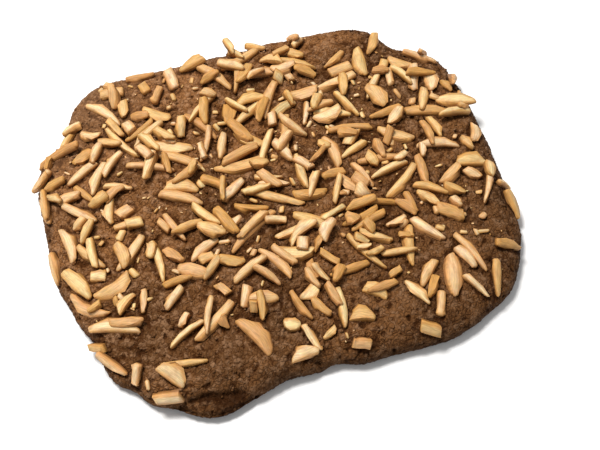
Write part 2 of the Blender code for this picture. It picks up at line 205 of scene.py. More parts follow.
# The broadest slivers on the crust, and those that lie alone on its barer parts or near the
# rim: cut, x, y, heading in degrees, and length. Here x, y and length are in millimetres.
PLACED_SLIVERS = (
    ("split", -80, 45, 8, 20),
    ("split", -88, 37, 12, 11),
    ("split", -90, 22, 91, 12),
    ("split", -92, -4, 89, 14),
    ("flake", -58, 59, 129, 20),
    ("split", -53, 43, 119, 21),
    ("split", -42, 43, 33, 17),
    ("flake", -36, 53, 141, 14),
    ("split", -8, 64, 123, 20),
    ("stub", -38, 67, 109, 9),
    ("split", -45, 27, 156, 20),
    ("split", 82, -49, 169, 14),
    ("split", 72, -61, 75, 15),
    ("split", 66, -48, 109, 20),
    ("flake", 56, -55, 76, 19),
    ("split", 63, -62, 124, 13),
    ("flake", 40, -58, 117, 14),
    ("stub", 47, -65, 67, 17),
    ("stub", 40, -73, 151, 14),
    ("stub", 13, -71, 164, 12),
    ("flake", 17, -60, 162, 10),
    ("split", 10, -55, 82, 17),
    ("flake", -9, -68, 5, 12),
    ("split", -4, -63, 108, 12),
    ("flake", -24, -56, 116, 20),
    ("split", -38, -46, 33, 21),
    ("split", -53, -59, 170, 18),
    ("flake", -58, -62, 130, 13),
    ("stub", -62, -69, 167, 17),
    ("stub", -71, -57, 60, 14),
    ("split", -79, -50, 127, 15),
    ("stub", -83, -41, 140, 15),
    ("flake", -75, -38, 161, 21),
    ("flake", -82, -25, 135, 19),
    ("flake", 81, 35, 89, 12),
    ("flake", 72, 3, 163, 19),
    ("split", 51, -9, 35, 20),
    ("split", 84, -21, 62, 18),
    ("flake", 71, 47, 142, 12),
    ("split", 44, 57, 31, 12),
    ("split", 27, -36, 119, 21),
    ("split", -62, -8, 43, 18),
    ("flake", -9, 17, 0, 24),
    ("flake", -2, 29, 137, 16),
    ("split", -13, -14, 32, 25),
    ("flake", -9, -30, 119, 19),
    ("flake", 0, -28, 166, 17),
    ("flake", 1, -18, 6, 14),
    ("flake", -34, -15, 27, 15),
    ("split", 74, 19, 163, 20),
    ("flake", 57, 13, 148, 17),
    ("split", 47, 3, 172, 20),
    ("split", 37, -2, 108, 14),
    ("split", 84, 15, 6, 17),
    ("split", 0, -1, 146, 25),
    ("split", -33, 27, 143, 22),
)

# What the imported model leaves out: the smaller slivers, and more that stick out past the rim,
# in the same columns.
SMALL_SLIVERS = 105
SMALL_LENGTHS = (6 * MM, 13 * MM)
RIM_SLIVERS = (
    ("split", -90, 36, 10, 12),
    ("split", -90, 24, 85, 14),
    ("split", 92, -22, 162, 9),
    ("split", 92, -31, 95, 13),
    ("split", 83, 50, 46, 12),
    ("split", 91, 33, 59, 13),
    ("flake", 87, 21, 158, 18),
    ("split", 31, 74, 107, 10),
    ("split", 14, 76, 134, 11),
    ("split", 2, 75, 100, 9),
    ("split", -72, 56, 20, 9),
)

# How a sliver is carved from a block.
BLOCK_CUTS = 4  # across its length
TAPER = 2.2  # the more, the nearer to its ends it starts to narrow
STUB_TAPER = 6.0
TOP_WIDTH = 0.84  # as a share of the width at its foot
HALF_MOON_SIDE = 0.7  # how straight one side of a half-moon flake is
TWIST_SPREAD = 7  # degrees from its middle to an end, give or take
BOW = (-0.015, 0.035)  # how far its middle stands up, as a share of its length
END_SHARE = 0.49  # from here on a corner belongs to an end
END_SLANT = 0.9  # how aslant its ends may be cut
WOBBLE = 0.28  # millimetres, of each corner
WOBBLE_ALONG, WOBBLE_ACROSS, WOBBLE_NEXT = 5, 2, 3.7  # how fast it changes, and to the next
ROUNDED_FROM = 0.6  # radians between two faces
SHARP_FROM = 0.95
EDGE_ROUND = 0.5 * MM
SAME_PLACE = 0.02 * MM  # corners nearer than this are one
GRAIN_START = 41  # millimetres along the grain's pattern by which it may start

# How toasted the slivers and the broken bits are, from 0 to 1: the usual and the spread.
STREW_SEED = 23
SLIVER_TOAST = (0.46, 0.36)
BIT_TOAST = (0.3, 0.25)

# The broken bits of almond.
CHIP_SIZES = (2.4, 6.5)  # the least and the most, in millimetres
DUST_SIZES = (0.8, 2.2)
USUAL_BIT = 1.3  # the usual size, as a share of the least
BIT_CLEAR_OF_RIM = 3 * MM
BIT_LIFT = 0.1  # how far a bit's middle lies above the crust, as a share of its size
BIT_WIDTH = (0.35, 0.75)
BIT_HEIGHT = (0.3, 0.6)
BIT_HIGHEST = 2.2 * MM
BIT_TILT = 0.35  # radians, give or take
BIT_KNOCK = 0.28  # how far its corners are knocked in, as a share, give or take
BIT_LEAST_HEIGHT = 0.4
BIT_ROUND = 0.12
BIT_GRAIN_START = 90

# The crumbs of dough.
CRUMB_SEED = 11
CRUMB_CLEAR_OF_RIM = 1.2 * MM
CRUMB_LEAST, CRUMB_MOST = 0.25, 1.2  # millimetres
CRUMB_SPREAD = (2.0, 0.14)  # shape and scale of the gamma rule for their sizes
CRUMB_SINK = (-0.35, 0.3)  # a crumb's middle from the crust, as a share of its size
CRUMB_RELIEF = (0.48, 0.66)  # how light it is, on the scale of the dough's relief
CRUMB_FOOT = -0.2  # below this share of its size it is darker, as painted shade under the crumb
CRUMB_FOOT_RELIEF = 0.3
CRUMB_STRETCH = (0.7, 1.3)
CRUMB_KNOCK = (0.72, 1.18)
CRUMB_FLATNESS = 0.8

# How fine the patterns in the colours are, in cells to a metre.
PATCH_SCALE = 42
GRAIN_SCALE = 330
STIR_SCALE = 500
CRUMB_SCALE = 600
STIRRED_BY = 2.2 * MM
BROWNED_AND_SHADED_SIDE = (0.62, -0.78, 0.0)  # the way towards the side that is darker: partly browner baking, partly painted shade away from the window light
FIBRE_STRETCH = (0.12, 1.1, 1.0)
FIBRE_SCALE = 1.6  # to a millimetre, because the grain's own map is in millimetres

# The view: from the front left, high up, so the slab's long side climbs to the right.
VIEW_TURN = -17.5  # degrees
VIEW_HEIGHT = 62  # degrees above the table
VIEW_AIM = (6.74 * MM, -12.9 * MM, 6 * MM)
LENS = 62  # millimetres
NEAREST = 0.01  # metres from the camera to the nearest thing that it shows
TABLE_HALF = 1.5  # metres from the table's middle to its sides
TABLE_GAP = 0.1 * MM  # what the table top lies below the flat underside
WINDOW_PLACE = (-0.25, 0.36, 1.06)
WINDOW_COLOUR = (1.0, 0.98, 0.95)


def length_property(name, description, default):
    """A size in metres that a user can change."""
    return FloatProperty(
        name=name,
        description=description,
        default=default,
        subtype="DISTANCE",
        unit="LENGTH",
    )


def colour_property(name, description, default):
    """A colour that a user can change."""
    return FloatVectorProperty(
        name=name, description=description, default=default, subtype="COLOR"
    )


class SpeculaasDough(bpy.types.PropertyGroup):
    """How the dough is baked"""

    nub_size: length_property("Nub size", "Width of the nubs that the crust is made of", 2.7 * MM)
    nub_height: length_property(
        "Nub height", "How far the nubs stand out of the creases between them", 0.36 * MM
    )
    crack_depth: length_property(
        "Crack depth", "Depth of the cracks that wander over the crust", 0.8 * MM
    )
    moat_depth: length_property(
        "Moat depth", "Depth of the crease that rings each almond", 0.5 * MM
    )
    moat_width: length_property("Moat width", "Half the width of that crease", 0.9 * MM)
    crumb_count: IntProperty(
        name="Crumbs", description="Number of crumbs of dough baked onto the crust", default=1500
    )
    crust_colour: colour_property("Crust", "Colour of the baked crust", (0.228, 0.099, 0.034))
    # Besides dark grain, this is the painted shade in the creases, seams, pores and cracks.
    dark_colour: colour_property(
        "Creases", "Colour deep in the creases, cracks and pores", (0.050, 0.0135, 0.0016)
    )
    # Besides pale grain, this is a painted highlight on the raised nubs and, in part, a painted
    # sheen at the back left.
    pale_colour: colour_property(
        "Worn tops", "Colour of the driest, palest tops of the nubs", (0.42, 0.232, 0.122)
    )


class SpeculaasAlmonds(bpy.types.PropertyGroup):
    """How the almonds are cut and toasted"""

    chip_count: IntProperty(
        name="Chips", description="Number of broken bits of almond among the slivers", default=100
    )
    dust_count: IntProperty(name="Dust", description="Number of crumbs of almond", default=90)
    cream_colour: colour_property(
        "Cream", "Colour of almond that the oven barely reached", (0.785, 0.585, 0.34)
    )
    golden_colour: colour_property(
        "Golden", "Colour of lightly toasted almond", (0.695, 0.438, 0.206)
    )
    toasted_colour: colour_property(
        "Toasted", "Colour of almond where it caught the most heat", (0.50, 0.24, 0.066)
    )
    # Besides the browner edges, this is the painted shade down the sides.
    side_colour: colour_property(
        "Sides", "Colour down the sides of the slivers", (0.60, 0.295, 0.088)
    )
    # This is painted shade where the slivers meet the dough.
    seam_colour: colour_property(
        "Seams", "Colour of the slivers where they meet the dough", (0.16, 0.055, 0.012)
    )
    yellow_tint: colour_property(
        "Yellow tint", "What almond is multiplied by where it is yellowest", (1.0, 1.01, 0.84)
    )
    pale_tint: colour_property(
        "Pale tint",
        "What almond is multiplied by where it is palest, as along its edges",
        (1.01, 1.0, 1.12),
    )


class SpeculaasStage(bpy.types.PropertyGroup):
    """The table, the light and the camera"""

    table_colour: colour_property("Table", "Colour of the table top", (0.93, 0.93, 0.93))
    window_power: FloatProperty(
        name="Window light",
        description="Power of the large soft light at the back left",
        default=16.0,
        subtype="POWER",
        unit="POWER",
    )
    window_size: length_property("Window size", "Width of that light", 0.32)
    room_light: FloatProperty(
        name="Room light", description="Brightness of the light from all round", default=0.42
    )
    camera_distance: length_property("Camera distance", "How far the camera is from the slab", 0.42)


def bump(degrees, centre, spread, power=2):
    """A hump round one direction, 1 at its middle. A higher power gives it steeper sides."""
    off = abs((degrees - centre + 180) % 360 - 180)
    return math.exp(-((off / spread) ** power))


def rim_radius(angle):
    """How far the rim is from the slab's middle in one direction, in radians from +X."""
    across = abs(math.cos(angle)) * 2 / SLAB_LENGTH
    along = abs(math.sin(angle)) * 2 / SLAB_WIDTH
    radius = (across**SQUARENESS + along**SQUARENESS) ** (-1 / SQUARENESS)
    degrees = math.degrees(angle)
    for centre, depth, spread in RIM_DENTS:
        radius -= depth * MM * bump(degrees, centre, spread)
    turn = Vector((math.cos(angle), math.sin(angle), 0)) * RIM_WAVE_COUNT / 2
    return radius + RIM_WAVE * (noise.noise(turn) - RIM_WAVE_INWARD)


def quarter_round(share):
    """The height of a quarter circle of radius 1 at a share of the way in from its edge."""
    inward = min(max(share, 0), 1)
    return math.sqrt(1 - (1 - inward) ** 2)


def fold_depth(x, y):
    """How deep the front fold is at a place. It is deepest at the rim and runs out inwards."""
    start = Vector(FOLD_START)
    run = Vector(FOLD_END) - start
    along = (Vector((x, y)) - start).dot(run) / run.length_squared
    nearest = start + run * min(max(along, 0), 1)
    off = (Vector((x, y)) - nearest).length / FOLD_WIDTH
    return FOLD_DEPTH * (1 - min(max(along, 0), 1)) * math.exp(-(off**2))


def ledge_reach(angle):
    """How far the ledge stands out from the slab's foot in one direction."""
    return LEDGE_DEPTH * bump(math.degrees(angle), LEDGE_DIRECTION, LEDGE_SPREAD, 4)


def crust_height(x, y):
    """The height of the crust over a place inside the rim."""
    angle = math.atan2(y, x)
    radius = rim_radius(angle)
    inward = radius - math.hypot(x, y)
    ledge_in = ledge_reach(angle)
    ledge = LEDGE_HEIGHT * quarter_round(inward / LEDGE_ROUND)
    steep = bump(math.degrees(angle), STEEP_DIRECTION, STEEP_SPREAD)
    run = SHOULDER_RUN + (STEEP_RUN - SHOULDER_RUN) * steep
    shoulder = quarter_round((inward - ledge_in) / run)
    body = BELLY_HEIGHT + (SHOULDER_HEIGHT - BELLY_HEIGHT) * shoulder
    if ledge_in > MM:
        body = max(body, ledge)
    crown = CROWN * (1 - (math.hypot(x, y) / radius) ** 2)
    lump = LUMP_HEIGHT * noise.noise(Vector((x, y, 0)) / LUMP_SPACING)
    return body + shoulder * (crown + lump) - fold_depth(x, y)


def crust_point(angle, reach):
    """The point of the crust at a distance from the slab's middle, in one direction."""
    x, y = reach * math.cos(angle), reach * math.sin(angle)
    return Vector((x, y, crust_height(x, y)))


def place_in_plateau(across, along):
    """Takes a place in the square from -1 to 1 to its place inside the shoulder."""
    round_x = across * math.sqrt(1 - along**2 / 2)
    round_y = along * math.sqrt(1 - across**2 / 2)
    angle = math.atan2(round_y * SLAB_WIDTH, round_x * SLAB_LENGTH)
    share = math.hypot(round_x, round_y)
    return crust_point(angle, (rim_radius(angle) - SHOULDER_RUN) * share)


def extrude_rim(bm, rim, place):
    """Draws the open edge out into one more ring, and puts each of its points by its angle."""
    made = bmesh.ops.extrude_edge_only(bm, edges=rim)["geom"]
    for vert in made:
        if isinstance(vert, bmesh.types.BMVert):
            vert.co = place(math.atan2(vert.co.y, vert.co.x))
    return [edge for edge in made if isinstance(edge, bmesh.types.BMEdge)]


def put_in_order(bm):
    """Orders the faces by their corners, because extruding makes them in a chance order."""
    bm.verts.index_update()
    count = len(bm.verts)

    def rank(face):
        # by its lowest two corners, and where two faces share those, by the sum of all
        corners = sorted(vert.index for vert in face.verts)
        return (corners[0] * count + corners[1]) * 4 * count + sum(corners)

    bm.faces.sort(key=rank)


def make_slab(bm):
    """The smooth slab: a grid for the crust, drawn down over the rim and closed underneath."""
    bmesh.ops.create_grid(bm, x_segments=CELLS_LONG, y_segments=CELLS_WIDE, size=1)
    for vert in bm.verts:
        vert.co = place_in_plateau(vert.co.x, vert.co.y)
    rim = [edge for edge in bm.edges if edge.is_boundary]

    for step in range(1, SHOULDER_STEPS + 1):
        turn = math.radians(90 * (1 - step / SHOULDER_STEPS))
        inward = SHOULDER_RUN * (1 - math.cos(turn))
        rim = extrude_rim(bm, rim, lambda angle: crust_point(angle, rim_radius(angle) - inward))

    def under(angle, turn):
        reach = rim_radius(angle) - UNDERCUT * (1 - math.cos(turn))
        height = BELLY_HEIGHT * (1 - math.sin(turn))
        return Vector((reach * math.cos(angle), reach * math.sin(angle), height))

    for step in range(1, UNDERCUT_STEPS + 1):
        turn = math.radians(90 * step / UNDERCUT_STEPS)
        rim = extrude_rim(bm, rim, lambda angle: under(angle, turn))
    bmesh.ops.contextual_create(bm, geom=rim)
    bmesh.ops.recalc_face_normals(bm, faces=bm.faces)
    put_in_order(bm)


def crag_height(place, dough):
    """How far the baked crust stands out of, or sinks into, the smooth slab at a place."""
    height = SWELL_HEIGHT * noise.noise(place / SWELL_SPACING)
    stirred = place + STIR_REACH * noise.noise_vector(place / STIR_SPACING)
    patchy = PATCH_MIDDLE + PATCH_SWING * noise.noise(place / PATCH_SPACING + PATCH_PLACE)
    for size, share in ((1.0, 1.0), (SMALL_NUB_SIZE, SMALL_NUB_HEIGHT)):
        near, next_near = noise.voronoi(stirred / (dough.nub_size * size))[0][:2]
        gap = min((next_near - near) / CREASE_WIDTH, 1)
        nub = gap * (1 - NUB_ROUNDNESS * near**2) - NUB_MIDDLE
        height += dough.nub_height * share * patchy * nub
    height += GRIT_HEIGHT * noise.fractal(place / GRIT_SPACING, 1.0, 2.0, 2)
    pore = noise.noise(place / PORE_SPACING + PORE_PLACE)
    height -= PORE_DEPTH * max(pore - PORE_FROM, 0)
    crack_line = noise.noise(stirred / CRACK_SPACING + CRACK_PLACE)
    cracked = max(noise.noise(place / CRACKED_SPACING + CRACKED_PLACE) - CRACKED_FROM, 0)
    crack = math.exp(-((crack_line / CRACK_WIDTH) ** 2)) * min(cracked * CRACKED_RISE, 1)
    return height - dough.crack_depth * crack


def ledge_groove(x, y):
    """The depth of the crease where the slab stands on its ledge."""
    reach = ledge_reach(math.atan2(y, x))
    off = (room_inside(x, y) - reach) / GROOVE_WIDTH
    return GROOVE_DEPTH * reach / LEDGE_DEPTH * math.exp(-(off**2))


def ledge_shade(x, y):
    """How much painted shade darkens the ledge at a place, from 0 off the ledge to 1."""
    reach = ledge_reach(math.atan2(y, x))
    share = min(max((reach - room_inside(x, y)) / LEDGE_SHADE_RUN, 0), 1)
    return reach / LEDGE_DEPTH * share


def width_share(sliver, share, taper=TAPER):
    """How wide a sliver is at a share of its length, as a share of its full width."""
    full = 1 - abs(2 * share) ** taper
    end = sliver.cut.ends[share > 0]
    return end + (1 - end) * full


def moat_round(lying, dough):
    """A function for the depth of the crease in the dough that rings each almond."""
    tree = kdtree.KDTree(len(lying) * MOAT_POINTS)
    halves = []
    for sliver in lying:
        for step in range(MOAT_POINTS):
            share = (step + 0.5) / MOAT_POINTS - 0.5
            tree.insert(spine(sliver, share), len(halves))
            halves.append(sliver.width * width_share(sliver, share) / 2)
    tree.balance()

    def depth_at(place):
        found = tree.find(place)
        gap = found[2] - halves[found[1]]
        return dough.moat_depth * math.exp(-((gap / dough.moat_width) ** 2))

    return depth_at


def roughen(bm, dough):
    """Raises the crags in the smooth slab, and keeps their height for the colours, less a painted
    shade on the ledge.
    """
    relief = bm.verts.layers.float.new("relief")
    moat = moat_round(scatter_slivers(), dough)
    bm.normal_update()
    normals = [vert.normal.copy() for vert in bm.verts]
    for vert, normal in zip(bm.verts, normals):
        place = vert.co.copy()
        height = crag_height(place, dough) - ledge_groove(place.x, place.y) - moat(place)
        # Painted shade on the ledge, kept in the relief so that the colours darken it.
        shade = LEDGE_SHADE * ledge_shade(place.x, place.y)
        vert[relief] = min(max(0.5 + height / RELIEF_RANGE - shade, 0), 1)
        free = min(max(place.z / SMOOTH_FOOT, 0), 1)
        vert.co = place + normal * height * free


def room_inside(x, y):
    """How far a place is in from the rim."""
    return rim_radius(math.atan2(y, x)) - math.hypot(x, y)


def almond_share(x, y):
    """How likely an almond is to lie at a place, from 0 to 1."""
    for bare_x, bare_y, radius in BARE_PATCHES:
        if math.hypot(x - bare_x * MM, y - bare_y * MM) < radius * MM:
            return 0.0
    away = math.hypot(x - THICKEST[0], y - THICKEST[1]) / THICK_SPREAD
    share = THIN_SHARE + (1 - THIN_SHARE) * math.exp(-(away**2))
    forward = min(max((THINS_FROM - y) / (THINS_FROM + SLAB_WIDTH / 2), 0), 1)
    return share * (1 - (1 - THINNEST) * forward)


def spine(sliver, share):
    """The point over the table at a share, from -0.5 to 0.5, of a sliver's length."""
    reach = sliver.length * share
    x, y = reach * math.cos(sliver.heading), reach * math.sin(sliver.heading)
    return sliver.place + Vector((x, y, reach * sliver.slope))


def gap_between(one, other):
    """About how far apart two slivers lie, by three points along each."""
    shares = (-0.4, 0, 0.4)
    return min((spine(one, a).xy - spine(other, b).xy).length for a in shares for b in shares)


def height_under(x, y, lying):
    """What a sliver would touch over a place: the crust, or the top of one that lies there."""
    height = crust_height(x, y)
    for sliver in lying:
        off = Vector((x, y)) - sliver.place.xy
        way = Vector((math.cos(sliver.heading), math.sin(sliver.heading)))
        along = off.dot(way)
        if abs(along) > sliver.length / 2 or abs(off.cross(way)) > sliver.width * TOUCHING:
            continue
        top = sliver.place.z + along * sliver.slope + sliver.thickness / 2
        height = max(height, top)
    return height


def settle(sliver, lying):
    """Lets a sliver come to rest: on the two highest points with its middle between them."""
    shares = (-0.42, -0.28, -0.14, 0, 0.14, 0.28, 0.42)
    points = [spine(sliver, share) for share in shares]
    heights = [height_under(point.x, point.y, lying) for point in points]
    half = len(shares) // 2
    best_height, best_slope = -1.0, 0.0
    for back in range(half + 1):
        for front in range(half, len(shares)):
            run = (shares[front] - shares[back]) * sliver.length
            slope = (heights[front] - heights[back]) / run if run else 0.0
            height = heights[back] - shares[back] * sliver.length * slope
            if height > best_height:
                best_height, best_slope = height, slope
    side = Vector((-math.sin(sliver.heading), math.cos(sliver.heading)))
    side *= sliver.width / 2
    x, y = sliver.place.xy
    lean = crust_height(x + side.x, y + side.y) - crust_height(x - side.x, y - side.y)
    middle = best_height + sliver.thickness * (0.5 - PRESSED_IN)
    return sliver._replace(
        place=Vector((x, y, middle)),
        slope=best_slope,
        roll=sliver.roll + math.atan2(lean, sliver.width),
    )


def lift(sliver):
    """How far a sliver stands above the crust at its highest."""
    points = [spine(sliver, share) for share in (-0.5, 0, 0.5)]
    return max(point.z - crust_height(point.x, point.y) for point in points)


def new_sliver(draw, name, length, x, y, heading):
    """A sliver of one cut over a place, a little uneven in its size, and not yet lying."""
    cut = CUTS[name]
    return Sliver(
        cut=cut,
        length=length * cut.stretch,
        width=cut.width * draw.uniform(*UNEVEN_WIDTH),
        thickness=cut.thickness * draw.uniform(*UNEVEN_THICKNESS),
        bend=cut.bend * draw.uniform(*UNEVEN_BEND) * draw.choice((-1, 1)),
        place=Vector((x, y, 0)),
        heading=heading,
        slope=0.0,
        roll=math.radians(draw.gauss(0, ROLL_SPREAD)),
    )


def chance_place(draw):
    """A place somewhere in the slab's length and width."""
    x = draw.uniform(-0.5, 0.5) * SLAB_LENGTH
    return x, draw.uniform(-0.5, 0.5) * SLAB_WIDTH


def drop_sliver(draw, lying, name, length):
    """Lets one sliver fall on the barest of several places, and come to rest there."""
    best, best_gap = None, -1.0
    tries = 0
    while tries < TRIES or best is None:
        x, y = chance_place(draw)
        loose = new_sliver(draw, name, length, x, y, draw.uniform(0, math.pi))
        ends = (spine(loose, -0.5), spine(loose, 0.5))
        if min(room_inside(end.x, end.y) for end in ends) < CLEAR_OF_RIM:
            continue
        if draw.random() > almond_share(x, y):
            continue
        tries += 1
        gap = min((gap_between(loose, other) for other in lying), default=0)
        if gap <= best_gap:
            continue
        settled = settle(loose, lying)
        if lift(settled) < HIGHEST:
            best, best_gap = settled, gap
    return best


def lay_by_hand(draw, table, lying):
    """Lays slivers where a table has them."""
    for name, x, y, degrees, length in table:
        heading = math.radians(degrees)
        loose = new_sliver(draw, name, length * MM, x * MM, y * MM, heading)
        lying.append(settle(loose, lying))


def drop_many(draw, lengths, lying):
    """Drops slivers of the lengths given, the longest first, each of a cut drawn by its weight."""
    weights = [cut.weight for cut in CUTS.values()]
    for length in sorted(lengths, reverse=True):
        name = draw.choices(list(CUTS), weights)[0]
        lying.append(drop_sliver(draw, lying, name, length))


@functools.cache
def scatter_slivers():
    """The slivers where they lie: those listed, then the rest, and last the rim's."""
    draw = random.Random(SEED)
    lying = []
    lay_by_hand(draw, PLACED_SLIVERS, lying)
    large = [draw.triangular(SHORTEST, LONGEST, USUAL) for _ in range(RANDOM_SLIVERS)]
    drop_many(draw, large, lying)
    small = [draw.uniform(*SMALL_LENGTHS) for _ in range(SMALL_SLIVERS)]
    drop_many(draw, small, lying)
    lay_by_hand(draw, RIM_SLIVERS, lying)
    return lying


def take_mesh(bm, name):
    """Ends the modelling of a mesh and keeps it."""
    mesh = bpy.data.meshes.new(name)
    bm.to_mesh(mesh)
    bm.free()
    return mesh


def put_in_scene(name, data):
    """An object in the scene, with a mesh, a light or a camera in it."""
    obj = bpy.data.objects.new(name, data)
    bpy.context.scene.collection.objects.link(obj)
    return obj


def round_edges(bm, edges, width):
    """Takes the sharpness off some edges with one narrow flat."""
    bmesh.ops.bevel(
        bm,
        geom=edges,
        offset=width,
        offset_type="OFFSET",
        affect="EDGES",
        segments=1,
        profile=0.5,
        clamp_overlap=True,
        material=-1,
    )


def start_bit():
    """A block to carve a bit of almond from, with the attributes that its colours follow."""
    bm = bmesh.new()
    nut = bm.verts.layers.float_color.new("nut")
    tint = bm.verts.layers.float.new("tint")
    bmesh.ops.create_cube(bm, size=1)
    return bm, nut, tint


def finish_bit(bm, name, turn, grain_start):
    """Maps the grain along a bit of almond, lays the bit down and makes it a mesh."""
    grain = bm.loops.layers.uv.new("grain")
    for face in bm.faces:
        face.smooth = True
        for loop in face.loops:
            place = loop.vert.co
            loop[grain].uv = (place.x / MM + grain_start, (place.y + place.z) / MM)
    bmesh.ops.transform(bm, matrix=turn, verts=bm.verts)
    bmesh.ops.recalc_face_normals(bm, faces=bm.faces)
    return take_mesh(bm, name)


def carve_sliver(sliver, number, toast):
    """One sliver in a mesh of its own, tapered, bent, rounded at its edges and laid down."""
    bm, nut, tint = start_bit()
    long_edges = [edge for edge in bm.edges if edge.verts[0].co.x != edge.verts[1].co.x]
    bmesh.ops.subdivide_edges(bm, edges=long_edges, cuts=BLOCK_CUTS)
    draw = random.Random(number)
    lot = draw.random()
    half_moon = sliver.cut is CUTS["flake"] and lot > 0.5
    straight_side = sliver.width / 2 if half_moon else 0.0
    taper = STUB_TAPER if sliver.cut is CUTS["stub"] else TAPER
    twist = math.radians(draw.gauss(0, TWIST_SPREAD))
    bow = draw.uniform(*BOW) * sliver.length
    for vert in bm.verts:
        share = 0.5 * math.sin(math.pi * vert.co.x)
        width = width_share(sliver, share, taper)
        side = vert.co.y * sliver.width * width * (TOP_WIDTH if vert.co.z > 0 else 1)
        side += sliver.bend * sliver.length * (1 - 4 * share**2)
        side += math.copysign(straight_side * (1 - width) * HALF_MOON_SIDE, -sliver.bend)
        up = vert.co.z * sliver.thickness * (0.5 + 0.5 * width)
        up += bow * (0.5 - 4 * share**2)
        along = share * sliver.length
        if abs(share) > END_SHARE:
            end = sliver.cut.ends[share > 0]
            along += vert.co.y * sliver.width * (lot - 0.5) * END_SLANT * end
        pattern = (share * WOBBLE_ALONG, vert.co.y * WOBBLE_ACROSS, number * WOBBLE_NEXT)
        rolled = Matrix.Rotation(twist * share * 2, 4, "X") @ Vector((along, side, up))
        vert[nut] = (toast, share + 0.5, vert.co.y + 0.5, vert.co.z + 0.5)
        vert[tint] = lot * 7 % 1  # as good as another draw
        vert.co = rolled + noise.noise_vector(Vector(pattern)) * WOBBLE * MM
    rounded = [edge for edge in bm.edges if edge.calc_face_angle(0) > ROUNDED_FROM]
    round_edges(bm, rounded, EDGE_ROUND)
    bmesh.ops.remove_doubles(bm, verts=bm.verts, dist=SAME_PLACE)
    for edge in bm.edges:
        edge.smooth = edge.calc_face_angle(0) < SHARP_FROM
    turn = (
        Matrix.Translation(sliver.place)
        @ Matrix.Rotation(sliver.heading, 4, "Z")
        @ Matrix.Rotation(-math.atan(sliver.slope), 4, "Y")
        @ Matrix.Rotation(sliver.roll, 4, "X")
    )
    return finish_bit(bm, "sliver", turn, GRAIN_START * lot)


def carve_chip(place, size, toast, draw):
    """A broken bit of almond: a small block with its corners knocked about."""
    bm, nut, tint = start_bit()
    hue = draw.random()
    turn = (
        Matrix.Translation(place)
        @ Matrix.Rotation(draw.uniform(0, math.tau), 4, "Z")
        @ Matrix.Rotation(draw.gauss(0, BIT_TILT), 4, "X")
        @ Matrix.Rotation(draw.gauss(0, BIT_TILT), 4, "Y")
    )
    width = size * draw.uniform(*BIT_WIDTH)
    height = min(size * draw.uniform(*BIT_HEIGHT), BIT_HIGHEST)
    for vert in bm.verts:
        vert[nut] = (toast, vert.co.x + 0.5, vert.co.y + 0.5, vert.co.z + 0.5)
        vert[tint] = hue
        knock = [1 - abs(draw.gauss(0, BIT_KNOCK)) for _ in range(3)]
        along = vert.co.x * size * knock[0]
        side = vert.co.y * width * knock[1]
        up = vert.co.z * height * max(knock[2], BIT_LEAST_HEIGHT)
        vert.co = Vector((along, side, up))
    round_edges(bm, bm.edges[:], BIT_ROUND * size)
    return finish_bit(bm, "chip", turn, BIT_GRAIN_START * toast)


def carve_crumb(place, size, draw):
    """A crumb of dough: a knobbly little lump, half sunk in the crust."""
    bm = bmesh.new()
    relief = bm.verts.layers.float.new("relief")
    crumb = bmesh.ops.create_icosphere(bm, subdivisions=1, radius=size)["verts"]
    height = draw.uniform(*CRUMB_RELIEF)
    stretch = draw.uniform(*CRUMB_STRETCH)
    turn = Matrix.Rotation(draw.uniform(0, math.tau), 3, "Z")
    for vert in crumb:
        # Below its foot the crumb gets a low relief, and so painted shade.
        vert[relief] = height if vert.co.z > CRUMB_FOOT * size else CRUMB_FOOT_RELIEF
        knocked = vert.co * draw.uniform(*CRUMB_KNOCK)
        flat = Vector((knocked.x * stretch, knocked.y, knocked.z * CRUMB_FLATNESS))
        vert.co = turn @ flat + place
    for face in bm.faces:
        face.smooth = True
    return take_mesh(bm, "crumb")


def join_meshes(name, meshes):
    """Puts many small meshes together into one object, and drops them."""
    bm = bmesh.new()
    for mesh in meshes:
        bm.from_mesh(mesh)
        bpy.data.meshes.remove(mesh)
    return put_in_scene(name, take_mesh(bm, name))


def bake_on(obj, material):
    """Finishes a piece of the biscuit: its material and what it rides on, and hides the imported
    cookie.
    """
    obj.data.materials.append(material)
    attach(obj, "root")
    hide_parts(COOKIE)


